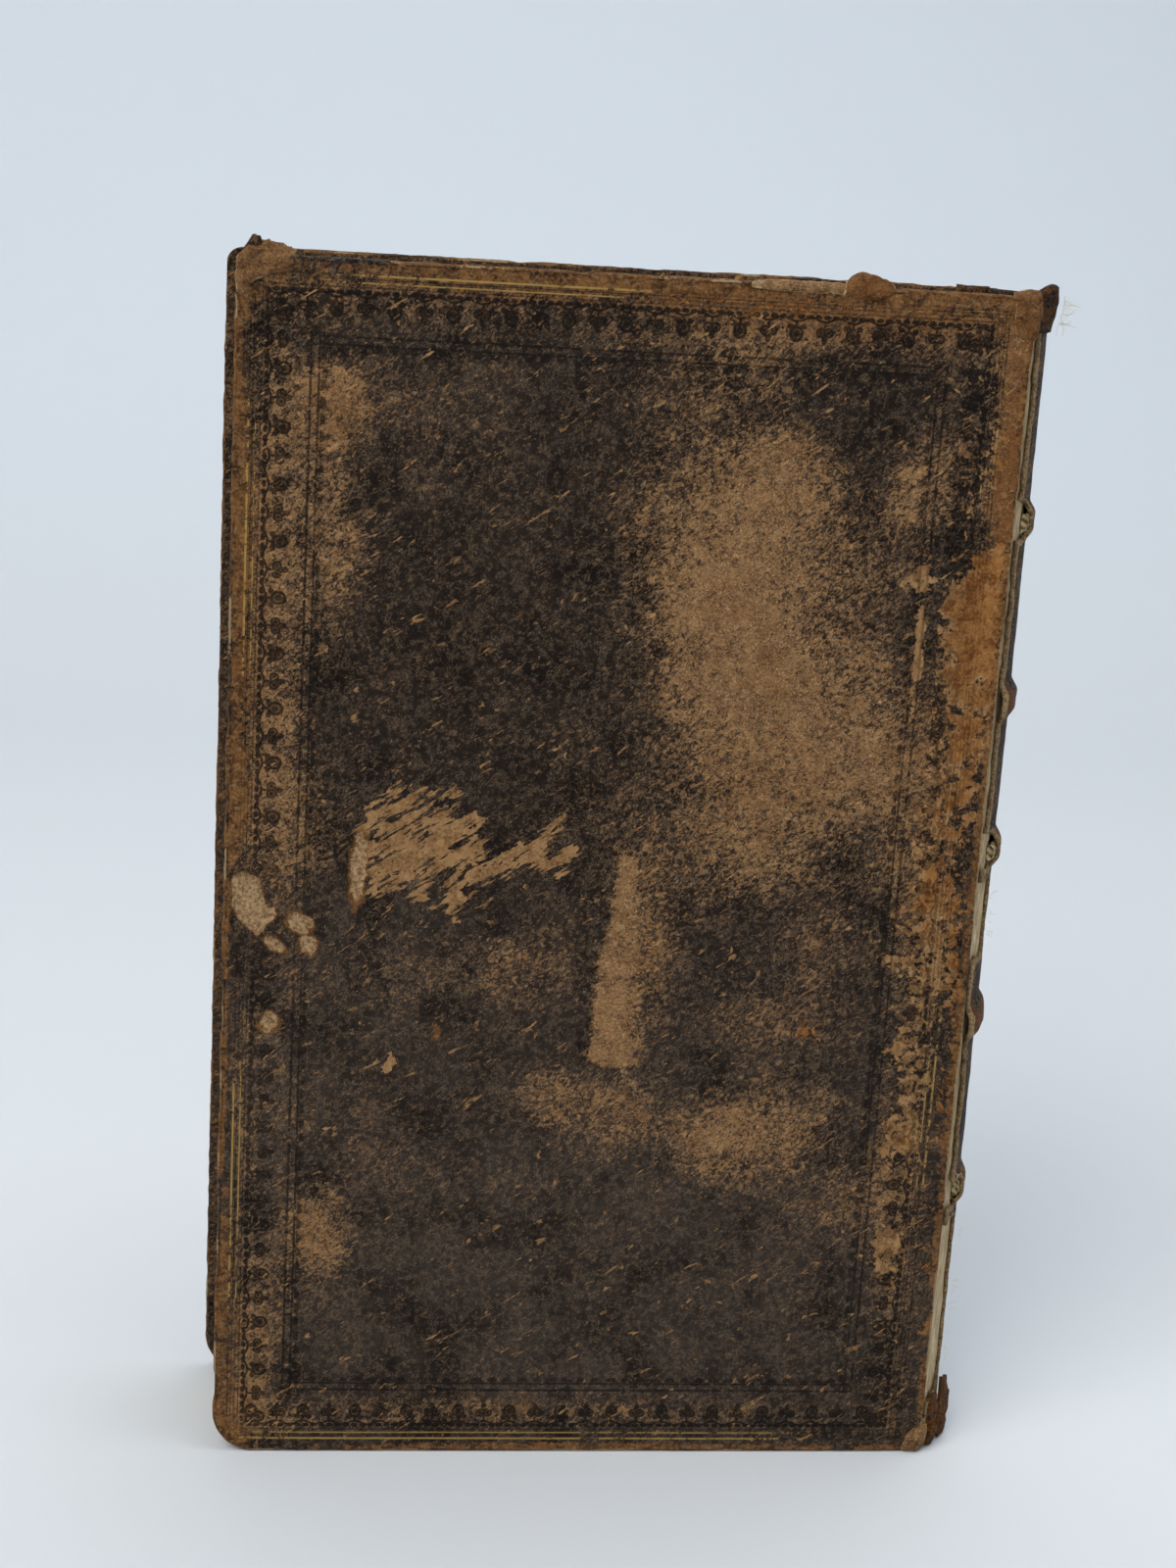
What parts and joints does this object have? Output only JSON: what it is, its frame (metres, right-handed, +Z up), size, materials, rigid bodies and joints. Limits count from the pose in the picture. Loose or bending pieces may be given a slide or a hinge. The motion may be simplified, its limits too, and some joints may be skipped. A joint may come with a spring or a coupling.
{
  "type": "antique leather book",
  "caption": "Worn book in blind-tooled brown leather over boards, standing on its tail, with a round back on raised cords and two hinged covers.",
  "frame": {"origin": "middle of the base that the closed book stands on", "axes": "+Z up from tail to head, +X from fore-edge to spine, -Y out of the rear cover"},
  "size_m": [0.1298, 0.031, 0.195],
  "materials": {
    "cover_leather": "satin",
    "spine_leather": "satin",
    "page_paper": "matte",
    "endpaper": "matte",
    "pasteboard": "matte",
    "hemp_cord": "matte",
    "endband_thread": "matte"
  },
  "bodies": {
    "book_block": {"text_block": "page_paper", "sewing_cord_1": "hemp_cord", "sewing_cord_2": "hemp_cord", "sewing_cord_3": "hemp_cord", "sewing_cord_4": "hemp_cord", "sewing_cord_5": "hemp_cord", "spine_leather": "spine_leather", "head_endband": "endband_thread", "tail_endband": "endband_thread"},
    "rear_cover": {"rear_board": "pasteboard", "rear_cord_slips": "hemp_cord", "rear_cover_leather": "cover_leather", "rear_pastedown": "endpaper"},
    "front_cover": {"front_board": "pasteboard", "front_cord_slips": "hemp_cord", "front_cover_leather": "cover_leather", "front_pastedown": "endpaper"}
  },
  "joints": [
    {"name": "rear_cover_hinge", "type": "hinge", "parent": "book_block", "child": "rear_cover", "pos_m": [0.0586, -0.01565, 0], "axis": [0, 0, 1], "range_deg": [0, 180]},
    {"name": "front_cover_hinge", "type": "hinge", "parent": "book_block", "child": "front_cover", "pos_m": [0.0559, 0.01565, 0], "axis": [0, 0, -1], "range_deg": [0, 180]}
  ]
}
